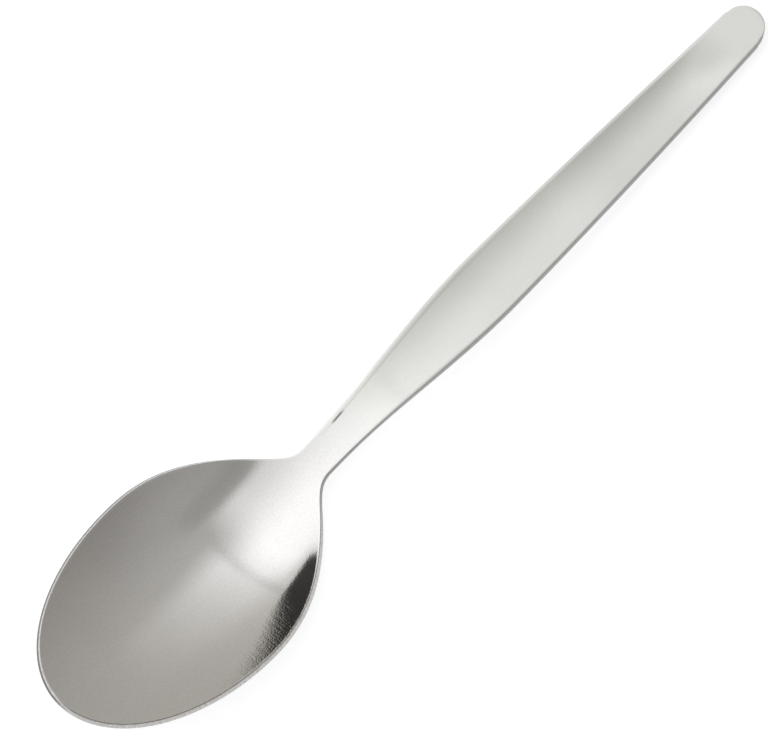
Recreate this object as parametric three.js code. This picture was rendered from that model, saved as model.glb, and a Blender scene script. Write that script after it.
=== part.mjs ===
// Coffee spoon: one plain stamping of stainless steel sheet, blanked flat and pressed in a die.
// The bowl and the handle are two solids that meet on a flat section at the neck.
// Millimetres, +Z up. The spoon lies on the plane z = 0 as it does on a table: on the bottom of its
// bowl and on the end of its handle. +X runs along the spoon to the handle's end.
// The origin is the point under the bowl where it rests.
import * as THREE from 'three';

// Driving dimensions, along the spoon
const TIP_TO_WIDEST = 19.8;
const WIDEST_TO_HEEL = 19.4;
const WIDEST_TO_NECK = 21.2;
const WIDEST_TO_DISH_END = 23.3;
const HEEL_TO_BROADEST = 27.2;
const BROADEST_TO_END = 43.6;
const END_REST_LENGTH = 6.0;
const END_BEND_LENGTH = 20.0;
const NECK_TO_FULL_HOLLOW = 26.0;
const HOLLOW_TO_END = 4.0;
const HOLLOW_RUNOUT = 8.0;

// Driving dimensions, across the spoon
const BOWL_WIDTH = 24.4;
const NECK_WIDTH = 4.0;
const HANDLE_WIDTH = 7.3;
const HANDLE_END_WIDTH = 4.8;
const NECK_FILLET = 3.0;
const HOLLOW_BORDER = 0.3;

// Driving dimensions, up from the table and through the sheet
const BOWL_DEPTH = 4.0;
const DISH_BLEND = 3.8;
const TIP_LIFT = 5.0;
const REST_FLAT_DEPTH = 0.1;
const BOWL_SHEET = 0.7;
const NECK_SHEET = 1.3;
const HANDLE_SHEET = 2.0;
const HOLLOW_DEPTH = 0.15;

// Powers that shape the curves: the bowl's heel, the taper of the handle, the rim's lift
const HEEL_POWER = 2.2;
const TAPER_POWER = 1.5;
const LIFT_POWER = 2;

// Satin stainless steel, a slightly warm grey, a little brighter on the handle
const BOWL_COLOR = 0xa6a39d;
const BOWL_ROUGHNESS = 0.36;
const HANDLE_COLOR = 0xd6d5d1;
const HANDLE_ROUGHNESS = 0.3;

// How finely the sheet is divided across and along, and how finely its slope and its rest are found
const ACROSS = 16;
const TIP_ROWS = 14;
const HEEL_ROWS = 20;
const RISE_ROWS = 9;
const TAPER_ROWS = 13;
const CAP_ROWS = 4;
const PROBE = 0.01;
const REST_STEP = 0.05;

// Stations along the spoon, from the tip of the bowl
const widestX = TIP_TO_WIDEST;
const heelX = widestX + WIDEST_TO_HEEL;
const neckX = widestX + WIDEST_TO_NECK;
const broadestX = heelX + HEEL_TO_BROADEST;
const endX = broadestX + BROADEST_TO_END;
const endRestX = endX - END_REST_LENGTH;
const hollowEndX = endX - HOLLOW_TO_END;
const halfBowl = BOWL_WIDTH / 2;
const capRadius = HANDLE_END_WIDTH / 2;
const capX = endX - capRadius;

// The outermost row at each end follows the outline between two corners, so that no row shrinks to a point
const tipCornerHalf = halfBowl / 2;
const tipCornerX = widestX * (1 - Math.sqrt(1 - (tipCornerHalf / halfBowl) ** 2));
const tipFadeX = (tipCornerX + widestX) / 2;
const endCornerHalf = capRadius * Math.SQRT1_2;
const endCornerX = capX + endCornerHalf;
const endFadeX = capX - HANDLE_END_WIDTH;

const ease = (t) => THREE.MathUtils.smoothstep(t, 0, 1);

// The larger of two sizes, with a fillet where they cross
function filletMax(a, b, radius) {
  const overlap = Math.max(radius - Math.abs(a - b), 0) / radius;
  return Math.max(a, b) + (overlap ** 3) * radius / 6;
}

// Half the width of the handle, without the round of its end
function handleHalfWidth(x) {
  const halfNeck = NECK_WIDTH / 2;
  const halfHandle = HANDLE_WIDTH / 2;
  if (x < broadestX) {
    return halfNeck + (halfHandle - halfNeck) * ease((x - heelX) / HEEL_TO_BROADEST);
  }
  const taper = ((x - broadestX) / BROADEST_TO_END) ** TAPER_POWER;
  return halfHandle - (halfHandle - capRadius) * taper;
}

// Half the width of the blank: an ellipse at the tip, a fuller curve at the heel, a fillet into the neck
function halfWidth(x) {
  if (x < widestX) {
    return halfBowl * Math.sqrt(1 - ((widestX - x) / TIP_TO_WIDEST) ** 2);
  }
  const heel = halfBowl * Math.max(1 - ((x - widestX) / WIDEST_TO_HEEL) ** HEEL_POWER, 0);
  const width = filletMax(heel, handleHalfWidth(x), NECK_FILLET);
  if (x > capX) {
    return Math.min(width, Math.sqrt(Math.max(capRadius ** 2 - (x - capX) ** 2, 0)));
  }
  return width;
}

// How far the die presses the sheet below the line of the rim: a round dish, which reaches the rim all
// round the tip and blends out towards the neck, where the sheet is flat from edge to edge
function dish(x, y) {
  if (x < widestX) {
    return BOWL_DEPTH * (1 - ((widestX - x) / TIP_TO_WIDEST) ** 2 - (y / halfBowl) ** 2);
  }
  const along = (x - widestX) / WIDEST_TO_DISH_END;
  const depth = BOWL_DEPTH * (1 - along ** 2 - (y / halfBowl) ** 2);
  return along > 0 ? filletMax(depth, 0, DISH_BLEND * ease(along)) : depth;
}

// The rim turns up from the line of the handle towards the tip
const rimLift = (x) => TIP_LIFT * Math.max((neckX - x) / neckX, 0) ** LIFT_POWER;

// The handle's end lies flat, and then the handle bends up into a straight slope
function endRamp(x) {
  const run = Math.max(endRestX - x, 0);
  return run < END_BEND_LENGTH ? run ** 2 / (2 * END_BEND_LENGTH) : run - END_BEND_LENGTH / 2;
}

// The slope of the handle is the one at which bowl and handle end both touch the table
let handleSlope = 0;
let restX = widestX;
for (let x = 0; x < neckX; x += REST_STEP) {
  const slope = (dish(x, 0) - rimLift(x) - REST_FLAT_DEPTH) / endRamp(x);
  if (slope > handleSlope) {
    handleSlope = slope;
    restX = x;
  }
}

// Underside of the pressed sheet, before the bowl's bottom is worn flat where it rests
const pressed = (x, y) => handleSlope * endRamp(x) + rimLift(x) - dish(x, y);

// Thickness of the sheet, which is rolled thick for the handle, thinner at the neck and thinnest in the
// bowl. Inside a narrow border, the handle's upper face is coined into a long shallow hollow, which
// deepens slowly from the neck and runs out before the end.
function sheet(x, y) {
  const toNeck = BOWL_SHEET + (NECK_SHEET - BOWL_SHEET) * ease((x - widestX) / WIDEST_TO_NECK);
  const plain = toNeck + (HANDLE_SHEET - NECK_SHEET) * ease((x - neckX) / (broadestX - neckX));
  const runout = ease((x - neckX) / NECK_TO_FULL_HOLLOW) * ease((hollowEndX - x) / HOLLOW_RUNOUT);
  const reach = Math.min(Math.abs(y) / (handleHalfWidth(x) - HOLLOW_BORDER), 1);
  return plain - HOLLOW_DEPTH * runout * (1 - reach ** 2);
}

// A point of the underside, and the point of the upper face that lies square above it.
// Towards the neck the offset is kept in the section, so that the two solids meet on a flat plane.
function facePoints(x, y) {
  const slopeX = (pressed(x + PROBE, y) - pressed(x - PROBE, y)) / (2 * PROBE);
  const slopeY = (pressed(x, y + PROBE) - pressed(x, y - PROBE)) / (2 * PROBE);
  const lean = 1 - ease((x - widestX) / WIDEST_TO_NECK);
  const up = new THREE.Vector3(-lean * slopeX, -slopeY, 1);
  const rise = sheet(x, y) * Math.hypot(slopeX, slopeY, 1) / up.lengthSq();
  const height = pressed(x, y);
  return {
    lower: new THREE.Vector3(x - restX, y, Math.max(height, 0)),
    upper: new THREE.Vector3(x - restX, y, height).addScaledVector(up, rise),
  };
}

// A point of the row at station x, at a share of the half width from -1 to 1
function rowPoint(x, share) {
  const tipFade = ease((tipFadeX - x) / (tipFadeX - tipCornerX));
  const endFade = ease((x - endFadeX) / (endCornerX - endFadeX));
  const tipReach = widestX * (1 - Math.sqrt(1 - (tipCornerHalf * share / halfBowl) ** 2));
  const endReach = capX + Math.sqrt(capRadius ** 2 - (endCornerHalf * share) ** 2);
  const bowed = x - tipFade * (tipCornerX - tipReach) + endFade * (endReach - endCornerX);
  return facePoints(bowed, halfWidth(x) * share);
}

// Stations in equal steps through a list of [end, steps]
function stations(start, spans) {
  const list = [start];
  let from = start;
  for (const [to, steps] of spans) {
    for (let i = 1; i <= steps; i += 1) {
      list.push(from + (to - from) * i / steps);
    }
    from = to;
  }
  return list;
}

// A closed solid of the sheet through a list of stations
function sheetSolid(xs) {
  const columns = ACROSS + 1;
  const lower = [];
  const upper = [];
  for (const x of xs) {
    for (let j = 0; j < columns; j += 1) {
      const point = rowPoint(x, 2 * j / ACROSS - 1);
      lower.push(point.lower);
      upper.push(point.upper);
    }
  }
  const topStart = lower.length;
  const index = [];
  const quad = (a, b, c, d) => index.push(a, b, c, a, c, d);
  const last = xs.length - 1;
  for (let i = 0; i < last; i += 1) {
    for (let j = 0; j < ACROSS; j += 1) {
      const a = i * columns + j;
      const b = a + columns;
      quad(a, a + 1, b + 1, b);
      quad(topStart + a, topStart + b, topStart + b + 1, topStart + a + 1);
    }
    const near = i * columns;
    const far = near + ACROSS;
    quad(near, near + columns, topStart + near + columns, topStart + near);
    quad(far + columns, far, topStart + far, topStart + far + columns);
  }
  for (let j = 0; j < ACROSS; j += 1) {
    const first = j;
    const final = last * columns + j;
    quad(first + 1, first, topStart + first, topStart + first + 1);
    quad(final, final + 1, topStart + final + 1, topStart + final);
  }
  const geometry = new THREE.BufferGeometry().setFromPoints([...lower, ...upper]);
  geometry.setIndex(index);
  geometry.computeVertexNormals();
  return geometry;
}

// One solid of satin stainless steel through a list of stations
function steelPiece(name, xs, color, roughness) {
  const steel = new THREE.MeshStandardMaterial({ color, metalness: 1, roughness });
  const piece = new THREE.Mesh(sheetSolid(xs), steel);
  piece.name = name;
  return piece;
}

// Bowl, from its tip to the neck
function makeBowl() {
  const xs = stations(tipCornerX, [[widestX, TIP_ROWS], [neckX, HEEL_ROWS]]);
  return steelPiece('bowl', xs, BOWL_COLOR, BOWL_ROUGHNESS);
}

// Handle, from the neck to its round end
function makeHandle() {
  const xs = stations(neckX, [[broadestX, RISE_ROWS], [capX, TAPER_ROWS], [endCornerX, CAP_ROWS]]);
  return steelPiece('handle', xs, HANDLE_COLOR, HANDLE_ROUGHNESS);
}

const spoon = new THREE.Group();
spoon.name = 'coffee_spoon';
spoon.add(makeBowl(), makeHandle());

export default spoon;
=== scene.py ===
import math

import bpy
from mathutils import Matrix, Vector


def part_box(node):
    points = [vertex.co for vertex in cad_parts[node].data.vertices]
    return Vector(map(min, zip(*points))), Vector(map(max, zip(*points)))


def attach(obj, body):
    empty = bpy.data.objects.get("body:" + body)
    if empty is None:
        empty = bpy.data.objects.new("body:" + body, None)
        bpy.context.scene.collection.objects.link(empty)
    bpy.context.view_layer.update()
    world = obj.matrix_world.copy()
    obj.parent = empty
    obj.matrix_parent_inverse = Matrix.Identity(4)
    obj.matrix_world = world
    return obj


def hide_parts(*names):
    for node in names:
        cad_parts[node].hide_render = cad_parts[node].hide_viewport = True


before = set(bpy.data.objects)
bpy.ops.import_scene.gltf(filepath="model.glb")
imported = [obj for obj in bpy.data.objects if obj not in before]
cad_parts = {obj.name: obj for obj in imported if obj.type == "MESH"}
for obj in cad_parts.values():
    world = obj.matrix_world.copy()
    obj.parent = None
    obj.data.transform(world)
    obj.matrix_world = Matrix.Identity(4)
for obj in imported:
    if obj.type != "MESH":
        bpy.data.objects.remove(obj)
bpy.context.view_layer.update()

# Spoon: one piece of stainless steel sheet, cut flat from a strip and pressed between two dies.
# The sheet is thick in the handle, thinner at the neck and thinnest in the bowl. The handle's upper face
# is coined into a long shallow hollow, and tumbling has rounded every edge a little.
mm = 0.001
tip_to_widest = 19.8 * mm
widest_to_heel = 19.4 * mm
heel_to_broadest = 27.2 * mm
half_neck = 2.0 * mm
neck_fillet = 3.0 * mm
end_radius = 2.4 * mm
end_rest_length = 6.0 * mm
end_bend = 20.0 * mm
bowl_depth = 4.0 * mm
dish_length = 23.3 * mm
dish_blend = 3.8 * mm
tip_lift = 5.0 * mm
rest_flat_depth = 0.1 * mm
bowl_sheet = 0.7 * mm
neck_sheet = 1.3 * mm
handle_sheet = 2.0 * mm
hollow_depth = 0.15 * mm
hollow_border = 0.3 * mm
hollow_rise = 26.0 * mm
hollow_runout = 8.0 * mm
hollow_to_end = 4.0 * mm
heel_power = 2.2
taper_power = 1.5

# Stations along the spoon and its half widths, from the frame and these sizes
bowl_low, bowl_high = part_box("bowl")
handle_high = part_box("handle")[1]
tip_x = bowl_low.x
neck_x = bowl_high.x
end_x = handle_high.x
half_bowl = bowl_high.y
half_handle = handle_high.y
widest_x = tip_x + tip_to_widest
heel_x = widest_x + widest_to_heel
broadest_x = heel_x + heel_to_broadest
cap_x = end_x - end_radius
end_rest_x = end_x - end_rest_length
hollow_end_x = end_x - hollow_to_end


def ease(t):
    t = min(max(t, 0.0), 1.0)
    return t * t * (3 - 2 * t)


# The larger of two sizes, with a fillet where they cross
def fillet_max(a, b, radius):
    overlap = max(radius - abs(a - b), 0) / radius
    return max(a, b) + overlap ** 3 * radius / 6


# Half the width of the handle, without the round of its end
def handle_half_width(x):
    if x < broadest_x:
        return half_neck + (half_handle - half_neck) * ease((x - heel_x) / (broadest_x - heel_x))
    taper = ((x - broadest_x) / (end_x - broadest_x)) ** taper_power
    return half_handle - (half_handle - end_radius) * taper


# Half the width of the blank: an ellipse at the tip, a fuller curve at the heel, a fillet into the neck
def half_width(x):
    if x < widest_x:
        return half_bowl * math.sqrt(max(1 - ((widest_x - x) / (widest_x - tip_x)) ** 2, 0))
    heel = half_bowl * max(1 - ((x - widest_x) / (heel_x - widest_x)) ** heel_power, 0)
    width = fillet_max(heel, handle_half_width(x), neck_fillet)
    if x > cap_x:
        return min(width, math.sqrt(max(end_radius ** 2 - (x - cap_x) ** 2, 0)))
    return width


# How far the die presses the sheet below the line of the rim: a round dish that blends out at the neck
def dish(x, y):
    if x <= widest_x:
        return bowl_depth * (1 - ((widest_x - x) / (widest_x - tip_x)) ** 2 - (y / half_bowl) ** 2)
    along = (x - widest_x) / dish_length
    depth = bowl_depth * (1 - along ** 2 - (y / half_bowl) ** 2)
    return fillet_max(depth, 0, dish_blend * ease(along))


# The rim turns up from the line of the handle towards the tip
def rim_lift(x):
    return tip_lift * max((neck_x - x) / (neck_x - tip_x), 0) ** 2


# The handle's end lies flat, and then the handle bends up into a straight slope
def end_ramp(x):
    run = max(end_rest_x - x, 0)
    return run ** 2 / (2 * end_bend) if run < end_bend else run - end_bend / 2


# The handle slopes so that the bowl's bottom, at the origin, and the handle's end both touch the table
handle_slope = (dish(0, 0) - rim_lift(0) - rest_flat_depth) / end_ramp(0)


def underside(x, y):
    return handle_slope * end_ramp(x) + rim_lift(x) - dish(x, y)


# Thickness of the sheet, less the hollow in the handle's upper face
def sheet(x, y):
    to_neck = bowl_sheet + (neck_sheet - bowl_sheet) * ease((x - widest_x) / (neck_x - widest_x))
    plain = to_neck + (handle_sheet - neck_sheet) * ease((x - neck_x) / (broadest_x - neck_x))
    runout = ease((x - neck_x) / hollow_rise) * ease((hollow_end_x - x) / hollow_runout)
    reach = min(abs(y) / (handle_half_width(x) - hollow_border), 1)
    return plain - hollow_depth * runout * (1 - reach ** 2)


# The blank is a grid. Its first and last rows follow the round of the tip and of the end between two
# corners, and its outermost columns leave a clear band for the rounding of the edge.
rows = 330
columns = 64
edge_band = 0.25 * mm
tip_corner_half = half_bowl / 2
tip_corner_x = tip_x + (widest_x - tip_x) * (1 - math.sqrt(1 - (tip_corner_half / half_bowl) ** 2))
tip_fade_x = (tip_corner_x + widest_x) / 2
end_corner_half = end_radius * math.sqrt(0.5)
end_corner_x = cap_x + end_corner_half
end_fade_x = cap_x - 2 * end_radius


# A point of the blank, from 0 to 1 along the spoon and from -1 to 1 across it
def blank_point(along, across):
    x = tip_corner_x + (end_corner_x - tip_corner_x) * along
    width = half_width(x)
    inner_share = (1 - edge_band / width) * across / (1 - 2 / columns)
    share = across if abs(across) > 1 - 1 / columns else inner_share
    tip_fade = ease((tip_fade_x - x) / (tip_fade_x - tip_corner_x))
    end_fade = ease((x - end_fade_x) / (end_corner_x - end_fade_x))
    tip_round = math.sqrt(1 - (tip_corner_half * share / half_bowl) ** 2)
    tip_reach = tip_x + (widest_x - tip_x) * (1 - tip_round)
    end_reach = cap_x + math.sqrt(end_radius ** 2 - (end_corner_half * share) ** 2)
    bowed = x + tip_fade * (tip_reach - tip_corner_x) + end_fade * (end_reach - end_corner_x)
    return bowed, width * share


bpy.ops.object.select_all(action="DESELECT")
bpy.ops.mesh.primitive_grid_add(x_subdivisions=rows, y_subdivisions=columns, size=2)
spoon = bpy.context.object
spoon.name = "spoon"
steel = bpy.data.materials.new("satin_steel")
edge = bpy.data.materials.new("blanked_edge")
spoon.data.materials.append(steel)
spoon.data.materials.append(edge)
edge_slot = 1
blank_count = len(spoon.data.vertices)
thickness = spoon.vertex_groups.new(name="sheet")
for vertex in spoon.data.vertices:
    x, y = blank_point((vertex.co.x + 1) / 2, vertex.co.y)
    vertex.co = (x, y, underside(x, y))
    thickness.add([vertex.index], sheet(x, y) / handle_sheet, "REPLACE")

solidify = spoon.modifiers.new("sheet", "SOLIDIFY")
solidify.thickness = handle_sheet
solidify.offset = 1
solidify.vertex_group = "sheet"
solidify.use_quality_normals = True
solidify.material_offset_rim = edge_slot
bpy.ops.object.modifier_apply(modifier="sheet")

# How far up the sheet's edge each point stands, 0 on the lower face and 1 on the upper one, and how far
# inside the left outline it lies
rise = spoon.data.attributes.new("rise", "FLOAT", "POINT")
inset = spoon.data.attributes.new("inset", "FLOAT", "POINT")
for vertex in spoon.data.vertices:
    rise.data[vertex.index].value = 1.0 if vertex.index < blank_count else 0.0
    inset.data[vertex.index].value = half_width(vertex.co.x) - vertex.co.y

edge_round = 0.14 * mm
edge_round_steps = 3
sharp_angle = math.radians(50)
smooth_angle = math.radians(40)
tumbling = spoon.modifiers.new("tumbled_edges", "BEVEL")
tumbling.width = edge_round
tumbling.segments = edge_round_steps
tumbling.material = edge_slot
tumbling.limit_method = "ANGLE"
tumbling.angle_limit = sharp_angle
bpy.ops.object.modifier_apply(modifier="tumbled_edges")

# Wear has left a small flat under the bowl, where the spoon rests
for vertex in spoon.data.vertices:
    vertex.co.z = max(vertex.co.z, 0.0)
bpy.ops.object.shade_smooth_by_angle(angle=smooth_angle)

# Satin steel: the upper and lower faces, tumbled to a fine grain after a polish across the spoon.
# The handle is painted a little lighter and cooler than the bowl, a band past the neck is painted as a
# strong highlight, a stretch before the handle's end is painted shade, and a few pits are painted as dark
# specks.
steel_colour = (0.64, 0.63, 0.61)
# The handle's tint and lift, the band past the neck and the darker stretch are painted light and shade
handle_painted_tint = (-0.007, 0.004, -0.006)
handle_stretch = (neck_x - 4 * mm, neck_x + 8 * mm)
highlight_stretch = (neck_x + 3 * mm, neck_x + 9 * mm, neck_x + 9 * mm, neck_x + 24 * mm)
shaded_stretch = (broadest_x + 12 * mm, broadest_x + 20 * mm, end_x - 16 * mm, end_x - 9 * mm)
handle_painted_lift = 0.04
painted_highlight_gain = 0.28
painted_shade_loss = 0.08
noise_middle = 0.5
fine_detail = 2.0
grain_size = 0.22 * mm
bowl_grain = 0.2
handle_grain = 0.08
cloud_size = 6.0 * mm
cloud_detail = 3.0
cloud_contrast = 0.08
base_roughness = 0.035
handle_roughness = 0.03
grain_roughness = 0.03
cloud_roughness = 0.02


# Adds a shader node, sets or links its inputs and gives back one of its outputs
def node(tree, kind, inputs, output=0, **settings):
    made = tree.nodes.new("ShaderNode" + kind)
    for name, value in settings.items():
        setattr(made, name, value)
    for key, value in inputs.items():
        if isinstance(value, bpy.types.NodeSocket):
            tree.links.new(value, made.inputs[key])
        else:
            made.inputs[key].default_value = value
    return made.outputs[output] if made.outputs else None


def math_node(tree, operation, *values):
    return node(tree, "Math", dict(enumerate(values)), operation=operation)


def product(tree, first, *others):
    for other in others:
        first = math_node(tree, "MULTIPLY", first, other)
    return first


# A base, with an amount of each pattern added
def weighted_sum(tree, base, *terms):
    for pattern, amount in terms:
        base = math_node(tree, "MULTIPLY_ADD", pattern, amount, base)
    return base


# A soft step from low to high
def step_node(tree, value, start, stop, low=0.0, high=1.0):
    inputs = {"Value": value, "From Min": start, "From Max": stop, "To Min": low, "To Max": high}
    return node(tree, "MapRange", inputs, "Result", interpolation_type="SMOOTHSTEP")


# A soft band, which rises from start to full and falls from ebb to stop
def band_node(tree, value, start, full, ebb, stop):
    return product(tree, step_node(tree, value, start, full), step_node(tree, value, stop, ebb))


steel.use_nodes = True
tree = steel.node_tree
shader = tree.nodes["Principled BSDF"]
spot = node(tree, "TexCoord", {}, "Object")
along = node(tree, "SeparateXYZ", {"Vector": spot}, "X")
aside = math_node(tree, "ABSOLUTE", node(tree, "SeparateXYZ", {"Vector": spot}, "Y"))
grain = node(tree, "TexNoise", {"Vector": spot, "Scale": 1 / grain_size, "Detail": fine_detail}, "Fac")
cloud = node(tree, "TexNoise", {"Vector": spot, "Scale": 1 / cloud_size, "Detail": cloud_detail}, "Fac")
handle_share = step_node(tree, along, *handle_stretch)
highlight_share = band_node(tree, along, *highlight_stretch)
shaded_share = band_node(tree, along, *shaded_stretch)
rough = weighted_sum(tree, base_roughness, (handle_share, handle_roughness), (grain, grain_roughness),
                     (cloud, cloud_roughness))
cloud_tone = weighted_sum(tree, 1 - cloud_contrast / 2, (cloud, cloud_contrast))
grain_share = weighted_sum(tree, bowl_grain, (handle_share, handle_grain - bowl_grain))
grain_tone = weighted_sum(tree, 1.0, (math_node(tree, "SUBTRACT", grain, noise_middle), grain_share))
# Painted light: a slight lift on the handle, a strong painted highlight past the neck, painted shade before
# the end
steel_painted_light_tone = weighted_sum(tree, 1.0, (handle_share, handle_painted_lift), (highlight_share, painted_highlight_gain),
                           (shaded_share, -painted_shade_loss))

# The lines of the polish are left at the bowl's sides, where it is widest, and are faint elsewhere
line_width = 0.1 * mm
line_length = 2.5 * mm
line_waver = 0.4
lined_across = (7 * mm, 11 * mm)
lined_along = (widest_x + 18 * mm, widest_x + 2 * mm)
side_line_height = 1.2
faint_line_height = 0.15
line_grain = 1.2
plain_grain = 0.06
polish_height = 0.008 * mm
line_scale = (1 / line_width, 1 / line_length, 1 / line_length)
line_spot = node(tree, "Mapping", {"Vector": spot, "Scale": line_scale})
line_inputs = {"Vector": line_spot, "Scale": 1.0, "Detail": fine_detail, "Distortion": line_waver}
lines = node(tree, "TexNoise", line_inputs, "Fac")
sides = product(tree, step_node(tree, aside, *lined_across), step_node(tree, along, *lined_along))
line_height = weighted_sum(tree, faint_line_height, (sides, side_line_height))
scratches = weighted_sum(tree, lines, (grain, line_grain))
relief = weighted_sum(tree, product(tree, grain, plain_grain), (scratches, line_height))
bump = node(tree, "Bump", {"Height": relief, "Strength": 1.0, "Distance": polish_height})

# About one in five cells of a scattered pattern holds a pit, drawn only as a dark speck of painted shade,
# its radii in shares of the cells' spacing
pit_spacing = 3.0 * mm
pit_radii = (0.035, 0.015)
pit_pick = (0.78, 0.8)
pit_shade_loss = 0.45
pit_cell = tree.nodes.new("ShaderNodeTexVoronoi")
pit_cell.inputs["Scale"].default_value = 1 / pit_spacing
tree.links.new(spot, pit_cell.inputs["Vector"])
pit_draw = node(tree, "SeparateXYZ", {"Vector": pit_cell.outputs["Color"]}, "X")
pit = product(tree, step_node(tree, pit_cell.outputs["Distance"], *pit_radii),
              step_node(tree, pit_draw, *pit_pick))
# Each pit is a dark speck of painted shade in the base colour
pit_shade_tone = weighted_sum(tree, 1.0, (pit, -pit_shade_loss))

# A faint line of painted shade follows the handle's left outline, where the hollow starts, with a short
# crease painted darker in it
border_inset = 0.62 * mm
border_widths = (0.2 * mm, 0.04 * mm)
border_stretch = (neck_x, neck_x + 3 * mm, broadest_x - 8 * mm, broadest_x + 8 * mm)
border_shade_loss = 0.12
crease_x = neck_x + 3.2 * mm
crease_lengths = (1.2 * mm, 0.4 * mm)
crease_shade_loss = 0.7
from_outline = node(tree, "Attribute", {}, "Fac", attribute_name="inset")
from_border = math_node(tree, "ABSOLUTE", math_node(tree, "SUBTRACT", from_outline, border_inset))
border = product(tree, step_node(tree, from_border, *border_widths),
                 band_node(tree, along, *border_stretch))
from_crease = math_node(tree, "ABSOLUTE", math_node(tree, "SUBTRACT", along, crease_x))
border_shade_change = step_node(tree, from_crease, *crease_lengths, -border_shade_loss, -crease_shade_loss)
# Painted shade along the border line, darker in the crease
border_shade_tone = weighted_sum(tree, 1.0, (border, border_shade_change))

tone = product(tree, cloud_tone, grain_tone, steel_painted_light_tone, pit_shade_tone, border_shade_tone)
hue = node(tree, "VectorMath", {0: handle_painted_tint, 1: handle_share, 2: steel_colour}, "Vector",
           operation="MULTIPLY_ADD")
colour = node(tree, "VectorMath", {0: hue, "Scale": tone}, "Vector", operation="SCALE")
tree.links.new(colour, shader.inputs["Base Color"])
tree.links.new(rough, shader.inputs["Roughness"])
tree.links.new(bump, shader.inputs["Normal"])
shader.inputs["Metallic"].default_value = 1

# Blanked edge: the sheared side of the sheet, with the fine upright marks of the cutting die.
# On the left its upper half is painted light over a painted shade below. On the right it is painted shade
# along the handle and painted lighter round the bowl, under a dark line of painted shade along its top.
edge_colour = (1, 0.97, 0.93)
edge_roughness = 0.3
# Painted shade and painted light tones of the edge
edge_painted_shade_tone = 0.18
edge_painted_light_tone = 0.6
bowl_edge_painted_light_tone = 0.5
mark_width = 0.2 * mm
mark_length = 1.5 * mm
mark_base = 0.5
left_start = (-1.5 * mm, 1.5 * mm)
lit_half_rise = (0.5, 0.6)
dark_line_rise = (0.8, 0.9)
bowl_edge_light_end = (neck_x - 9 * mm, neck_x - 3 * mm)
edge.use_nodes = True
tree = edge.node_tree
shader = tree.nodes["Principled BSDF"]
spot = node(tree, "TexCoord", {}, "Object")
along = node(tree, "SeparateXYZ", {"Vector": spot}, "X")
left_share = step_node(tree, node(tree, "SeparateXYZ", {"Vector": spot}, "Y"), *left_start)
up_edge = node(tree, "Attribute", {}, "Fac", attribute_name="rise")
# The edge's sides and halves take these painted light and shade tones
left_tone = step_node(tree, up_edge, *lit_half_rise, edge_painted_shade_tone, edge_painted_light_tone)
face_tone = step_node(tree, along, *bowl_edge_light_end, bowl_edge_painted_light_tone, edge_painted_shade_tone)
dark_line_share = step_node(tree, up_edge, *dark_line_rise)
right_tone = node(tree, "Mix", {"Factor": dark_line_share, "A": face_tone, "B": edge_painted_shade_tone})
plain_tone = node(tree, "Mix", {"Factor": left_share, "A": right_tone, "B": left_tone})
mark_scale = (1 / mark_width, 1 / mark_width, 1 / mark_length)
mark_spot = node(tree, "Mapping", {"Vector": spot, "Scale": mark_scale})
marks = node(tree, "TexNoise", {"Vector": mark_spot, "Scale": 1.0, "Detail": fine_detail}, "Fac")
tone = product(tree, plain_tone, math_node(tree, "ADD", marks, mark_base))
colour = node(tree, "VectorMath", {0: edge_colour, "Scale": tone}, "Vector", operation="SCALE")
bump = node(tree, "Bump", {"Height": marks, "Strength": 1.0, "Distance": polish_height})
tree.links.new(colour, shader.inputs["Base Color"])
tree.links.new(bump, shader.inputs["Normal"])
shader.inputs["Metallic"].default_value = 1
shader.inputs["Roughness"].default_value = edge_roughness

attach(spoon, "root")
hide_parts("bowl", "handle")

# Floor: a sheet of plain white paper under the spoon, with the spoon's soft shadow on it.
# Where it is seen, directly or in the metal, it is lifted to white, and the shadow stays.
floor_size = 6
paper_colour = (0.5, 0.51, 0.53, 1)
paper_lift = 0.72
bpy.ops.object.select_all(action="DESELECT")
bpy.ops.mesh.primitive_plane_add(size=floor_size, location=(0, 0, 0))
floor = bpy.context.object
floor.name = "floor"
paper = bpy.data.materials.new("white_paper")
paper.use_nodes = True
tree = paper.node_tree
tree.nodes.clear()
diffuse = node(tree, "BsdfDiffuse", {"Color": paper_colour})
rays = tree.nodes.new("ShaderNodeLightPath").outputs
seen = math_node(tree, "MAXIMUM", rays["Is Camera Ray"], rays["Is Glossy Ray"])
seen = math_node(tree, "MAXIMUM", seen, rays["Is Transmission Ray"])
glow = node(tree, "Emission", {"Strength": product(tree, seen, paper_lift)})
node(tree, "OutputMaterial", {"Surface": node(tree, "AddShader", {0: diffuse, 1: glow})})
floor.data.materials.append(paper)

# Camera: high above the spoon, on the side of the bowl's tip, with a long lens.
# Its place and its lens were fitted to the spoon's outline in the photo.
camera_azimuth = math.radians(223.65)
camera_elevation = math.radians(75.87)
camera_distance = 0.6
camera_target = Vector((24.2 * mm, 2.2 * mm, 0))
picture_width = 768
focal_pixels = 5480
sensor_width = 36
back = Vector((
    math.cos(camera_elevation) * math.cos(camera_azimuth),
    math.cos(camera_elevation) * math.sin(camera_azimuth),
    math.sin(camera_elevation),
))
lens = bpy.data.cameras.new("camera")
lens.sensor_width = sensor_width
lens.lens = focal_pixels * sensor_width / picture_width
camera = bpy.data.objects.new("camera", lens)
camera.location = camera_target + camera_distance * back
camera.rotation_euler = back.to_track_quat("Z", "Y").to_euler()
bpy.context.scene.collection.objects.link(camera)
bpy.context.scene.camera = camera

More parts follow.
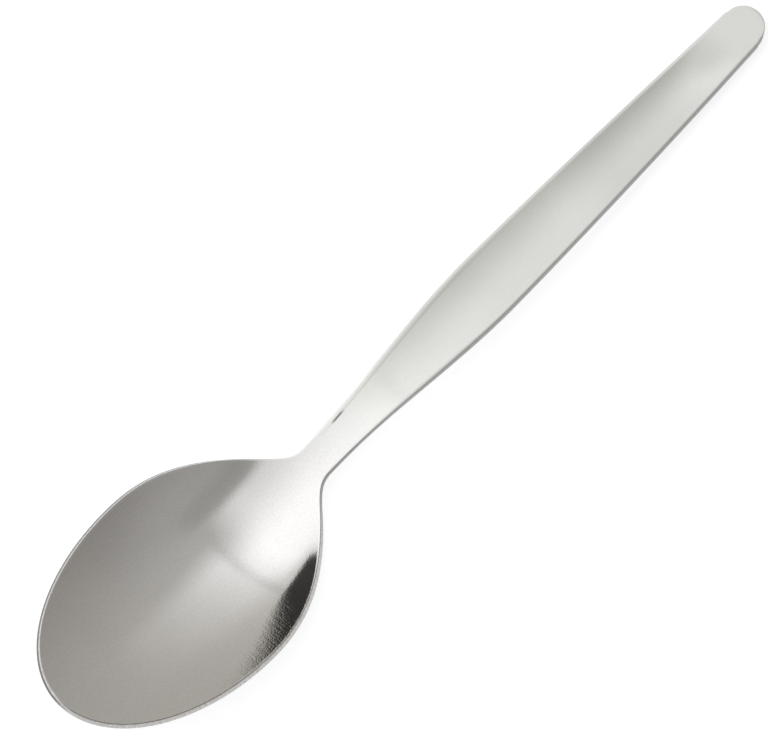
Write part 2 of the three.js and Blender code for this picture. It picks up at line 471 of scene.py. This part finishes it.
# Softbox: one large level lamp above the spoon, turned a little from the spoon's line. Left, right, low and
# high are as in a plan with the handle to the right, in shares of its height over the table. Its low, high
# and right rims are soft, and the right one draws in towards the low end.
cool_white = (0.975, 1, 1.05, 1)
softbox_height = 1.2
softbox_turn = math.radians(7.0)
softbox_left = 2.0
softbox_right = 0.35
softbox_low = 0.32
softbox_high = 1.24
softbox_radiance = 0.425
low_rim = 0.15
high_rim = 0.3
side_rim = (0.09, -0.14)
side_bend = (-0.05, 0.7)
side_places = (0.05, 0.235)
rim_power = 0.6
softbox_width = softbox_left + softbox_right
softbox_length = softbox_low + softbox_high
softbox = bpy.data.lights.new("softbox", "AREA")
softbox.shape = "RECTANGLE"
softbox.size = softbox_height * softbox_width
softbox.size_y = softbox_height * softbox_length
softbox.energy = softbox_radiance * math.pi * softbox.size * softbox.size_y
softbox_lamp = bpy.data.objects.new("softbox", softbox)
softbox_middle = Vector(((softbox_right - softbox_left) / 2, (softbox_high - softbox_low) / 2, 1))
softbox_lamp.location = Matrix.Rotation(softbox_turn, 3, "Z") @ softbox_middle * softbox_height
softbox_lamp.rotation_euler = (0, 0, softbox_turn)
softbox_lamp.visible_camera = False
bpy.context.scene.collection.objects.link(softbox_lamp)

softbox.use_nodes = True
tree = softbox.node_tree
place = node(tree, "NewGeometry", {}, "Parametric")
place_across = node(tree, "SeparateXYZ", {"Vector": place}, "X")
place_along = node(tree, "SeparateXYZ", {"Vector": place}, "Y")
box_across = math_node(tree, "MULTIPLY_ADD", place_across, softbox_width, -softbox_left)
box_along = math_node(tree, "MULTIPLY_ADD", place_along, softbox_length, -softbox_low)
side = step_node(tree, box_along, *side_bend, *side_places)
low_share = step_node(tree, box_along, -softbox_low, low_rim - softbox_low)
high_share = step_node(tree, box_along, softbox_high, softbox_high - high_rim)
side_share = step_node(tree, math_node(tree, "SUBTRACT", box_across, side), *side_rim)
glow = math_node(tree, "POWER", product(tree, low_share, high_share, side_share), rim_power)
lamp_shader = tree.nodes["Emission"]
lamp_shader.inputs["Color"].default_value = cool_white
tree.links.new(glow, lamp_shader.inputs["Strength"])

# Room: plain walls of warm grey, which are lightest away from the camera, and a ceiling that is lightest
# overhead. Both are painted on the world, for the metal to mirror.
warm_white = (1, 0.96, 0.91, 1)
wall_base = 0.392
wall_to_right = -0.063
wall_to_far = 0.178
ceiling_overhead = 0.243
least_height = 0.05
upright = Vector((0, 0, 1))
picture_right = Vector((-math.sin(camera_azimuth), math.cos(camera_azimuth), 0))
picture_up = Vector((-math.cos(camera_azimuth), -math.sin(camera_azimuth), 0))
world = bpy.data.worlds.new("grey_room")
world.use_nodes = True
tree = world.node_tree
sight = node(tree, "TexCoord", {}, "Generated")


def dot_with(direction):
    return node(tree, "VectorMath", {0: sight, 1: direction}, "Value", operation="DOT_PRODUCT")


height = math_node(tree, "MAXIMUM", dot_with(upright), least_height)
wall_slope = dot_with(picture_right * wall_to_right + picture_up * wall_to_far)
wall_level = math_node(tree, "ADD", wall_slope, wall_base)
ceiling_level = product(tree, height, height, ceiling_overhead)

# In the softbox's axes, the low end of the room is a little lighter, with a shade beside the softbox
low_end_up = (-0.5, -1.0)
low_end_right = (0.7, 0.1)
low_end_gain = 0.055
shade_up = (-0.68, -0.46, -0.4, -0.27)
shade_right = (0.3, 0.12)
shade_loss = 0.15
box_right = Vector((math.cos(softbox_turn), math.sin(softbox_turn), 0))
box_up = Vector((-math.sin(softbox_turn), math.cos(softbox_turn), 0))
over_right = math_node(tree, "DIVIDE", dot_with(box_right), height)
over_up = math_node(tree, "DIVIDE", dot_with(box_up), height)
low_end = product(tree, step_node(tree, over_up, *low_end_up), step_node(tree, over_right, *low_end_right))
wall_level = weighted_sum(tree, wall_level, (low_end, low_end_gain))
shade = product(tree, band_node(tree, over_up, *shade_up), step_node(tree, over_right, *shade_right))
shade_level = weighted_sum(tree, 1.0, (shade, -shade_loss))

# The ceiling is lit past the softbox's right side, from its low end on, and fades further away
lit_edge = 0.3
lit_fall = 0.43
lit_level = 0.48
lit_bend = (0.05, lit_edge)
lit_start_places = (-0.27, -0.17)
lit_full_places = (0.5, 0.25)
high_end_up = (1.5, 0.7)
high_end_levels = (0.5, 1.0)
past_edge = math_node(tree, "MAXIMUM", math_node(tree, "SUBTRACT", over_right, lit_edge), 0.0)
fall = math_node(tree, "EXPONENT", math_node(tree, "DIVIDE", past_edge, -lit_fall))
lit_start = step_node(tree, over_right, *lit_bend, *lit_start_places)
lit_full = step_node(tree, over_right, *lit_bend, *lit_full_places)
lit = step_node(tree, over_up, lit_start, lit_full, 0.0, lit_level)
high_end = step_node(tree, over_up, *high_end_up, *high_end_levels)
ceiling_level = math_node(tree, "ADD", ceiling_level, product(tree, fall, lit, high_end))

# A thin dark seam parts the softbox and the lit ceiling, along a straight line
seam_slope = 0.15
seam_right = 0.19
seam_width = (-0.05, 0.0, 0.01, 0.05)
seam_start = (-0.25, 0.1)
seam_loss = 0.15
seam_line = math_node(tree, "MULTIPLY_ADD", over_up, seam_slope, seam_right)
past_seam = math_node(tree, "SUBTRACT", over_right, seam_line)
seam = product(tree, band_node(tree, past_seam, *seam_width), step_node(tree, over_up, *seam_start))
seam_level = weighted_sum(tree, 1.0, (seam, -seam_loss))


# A direction of the room, in degrees round from the picture's right and above the table
def sky_point(around, above):
    around = math.radians(around)
    above = math.radians(above)
    flat = picture_right * math.cos(around) + picture_up * math.sin(around)
    return flat * math.cos(above) + Vector((0, 0, math.sin(above)))


# A dark doorway stands in the far left corner of the room
door_corner = sky_point(124.5, 33.0)
door_top_end = sky_point(139, 39.3)
door_side_end = sky_point(115, 16)
door_left_around = 145
door_top_blur = (-0.01, 0.02)
door_side_blur = (-0.03, 0.05)
door_loss = 0.93
under_top = dot_with(door_top_end.cross(door_corner).normalized())
inside_right = dot_with(door_corner.cross(door_side_end).normalized())
inside_left = dot_with(sky_point(door_left_around - 90, 0))
door = product(tree, step_node(tree, under_top, *door_top_blur),
               step_node(tree, inside_right, *door_side_blur),
               step_node(tree, inside_left, *door_side_blur))
door_level = weighted_sum(tree, 1.0, (door, -door_loss))

open_share = product(tree, door_level, seam_level, shade_level)
wall_level = product(tree, wall_level, open_share)
ceiling_level = product(tree, ceiling_level, open_share)
walls = node(tree, "Background", {"Color": warm_white, "Strength": wall_level})
ceiling = node(tree, "Background", {"Color": cool_white, "Strength": ceiling_level})
room = node(tree, "AddShader", {0: walls, 1: ceiling})

# To the camera the backdrop is white, and in the metal it is white along the floor's horizon
pure_white = (1, 1, 1, 1)
horizon_band = (0.08, 0.02)
backdrop = node(tree, "Background", {"Color": pure_white, "Strength": 1.0})
rays = tree.nodes.new("ShaderNodeLightPath").outputs
mirrored = math_node(tree, "MAXIMUM", rays["Is Glossy Ray"], rays["Is Transmission Ray"])
mirrored = product(tree, mirrored, step_node(tree, dot_with(upright), *horizon_band))
looked_at = math_node(tree, "MAXIMUM", rays["Is Camera Ray"], mirrored)
shown = node(tree, "MixShader", {"Fac": looked_at, 1: room, 2: backdrop})
tree.links.new(shown, tree.nodes["World Output"].inputs["Surface"])
bpy.context.scene.world = world

bpy.context.scene.view_settings.view_transform = "Standard"
